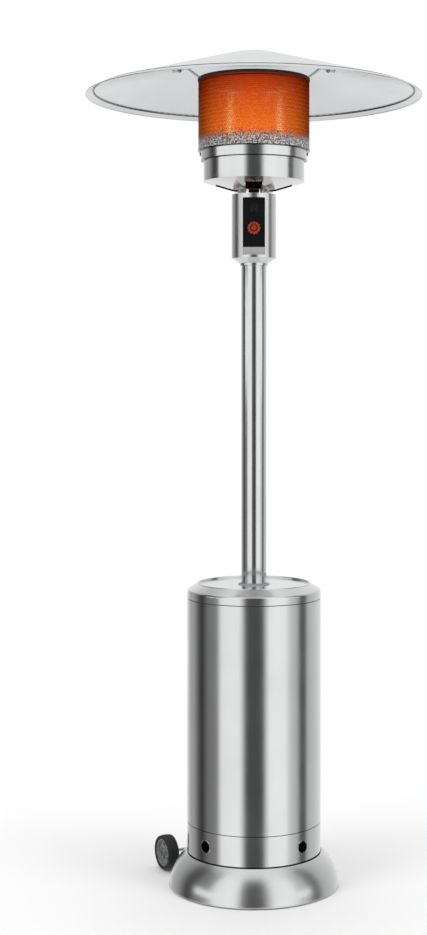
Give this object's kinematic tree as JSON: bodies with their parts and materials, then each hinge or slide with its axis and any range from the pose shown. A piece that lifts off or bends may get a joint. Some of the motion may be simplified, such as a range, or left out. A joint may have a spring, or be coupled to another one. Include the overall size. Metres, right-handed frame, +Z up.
{
  "type": "patio heater",
  "caption": "Floor-standing gas patio heater with domed wheeled base, sliding bottle housing, post, control neck, perforated radiant emitter and spun reflector dish.",
  "frame": {"origin": "on the floor below the post axis, at the centre of the bounding box", "axes": "+Z up along the post, controls facing -Y, +X to the right of someone who faces the controls"},
  "size_m": [0.885, 0.885, 2.1927],
  "materials": {
    "polished_steel": "polished",
    "reflector_aluminium": "satin",
    "dark_steel": "satin",
    "zinc_steel": "satin",
    "brass": "satin",
    "copper": "satin",
    "rubber": "matte",
    "tyre": "matte",
    "hub_plastic": "satin",
    "panel_black": "gloss",
    "control_black": "gloss",
    "knob_red": "gloss",
    "burner_dark": "matte",
    "emitter_glow": "satin",
    "insulator": "matte"
  },
  "bodies": {
    "stand": {"foot_pads": "rubber", "foot_screws": "zinc_steel", "base_plate": "dark_steel", "base_skirt": "polished_steel", "wheel_bracket": "zinc_steel", "bracket_bolts": "zinc_steel", "wheel_axle": "zinc_steel", "axle_caps": "zinc_steel", "support_leg_1": "dark_steel", "support_leg_2": "dark_steel", "support_leg_3": "dark_steel", "leg_bolts": "zinc_steel", "post_socket": "dark_steel", "post_screws": "zinc_steel", "gas_inlet": "brass", "gas_inlet_nut": "brass", "gas_pipe": "copper", "post": "polished_steel", "neck_base": "polished_steel", "neck_shell": "polished_steel", "control_panel": "panel_black", "panel_tab": "polished_steel", "gas_valve": "brass", "valve_screws": "zinc_steel", "igniter_body": "control_black", "igniter_nut": "zinc_steel", "tilt_switch": "control_black", "burner_support": "zinc_steel", "support_bolts": "zinc_steel", "burner_pan": "polished_steel", "burner_ring": "polished_steel", "venturi_tube": "burner_dark", "burner_head": "burner_dark", "pilot_bracket": "zinc_steel", "pilot_tube": "copper", "thermocouple": "copper", "spark_electrode": "insulator", "emitter_screen": "emitter_glow", "emitter_screws": "zinc_steel", "emitter_lid": "burner_dark", "reflector_bracket": "zinc_steel", "lid_bolts": "zinc_steel", "reflector": "reflector_aluminium", "reflector_bolts": "zinc_steel"},
    "tank_housing": {"vent_ring": "polished_steel", "housing_barrel": "polished_steel", "housing_cap": "polished_steel", "post_grommet": "rubber"},
    "valve_slider": {"valve_plunger": "zinc_steel"},
    "knob": {"control_knob": "knob_red", "valve_stem": "zinc_steel"},
    "igniter_push": {"igniter_button": "control_black"},
    "wheel_left": {"wheel_hub_left": "hub_plastic", "wheel_tyre_left": "tyre"},
    "wheel_right": {"wheel_hub_right": "hub_plastic", "wheel_tyre_right": "tyre"}
  },
  "joints": [
    {"name": "housing_lift", "type": "slide", "parent": "stand", "child": "tank_housing", "axis": [0, 0, 1], "range_m": [0, 0.6]},
    {"name": "knob_push", "type": "slide", "parent": "stand", "child": "valve_slider", "axis": [0, 1, 0], "range_m": [0, 0.004], "stiffness_N_per_m": 1000},
    {"name": "knob_turn", "type": "hinge", "parent": "valve_slider", "child": "knob", "pos_m": [0, -0.06, 1.722], "axis": [0, -1, 0], "range_deg": [0, 180]},
    {"name": "igniter_press", "type": "slide", "parent": "stand", "child": "igniter_push", "axis": [0, 1, 0], "range_m": [0, 0.005], "stiffness_N_per_m": 1000},
    {"name": "wheel_left_spin", "type": "hinge", "parent": "stand", "child": "wheel_left", "pos_m": [-0.23589, 0.12057, 0.048], "axis": [-0.866, -0.5, 0], "continuous": true},
    {"name": "wheel_right_spin", "type": "hinge", "parent": "stand", "child": "wheel_right", "pos_m": [0.01353, 0.26456, 0.048], "axis": [-0.866, -0.5, 0], "continuous": true}
  ]
}
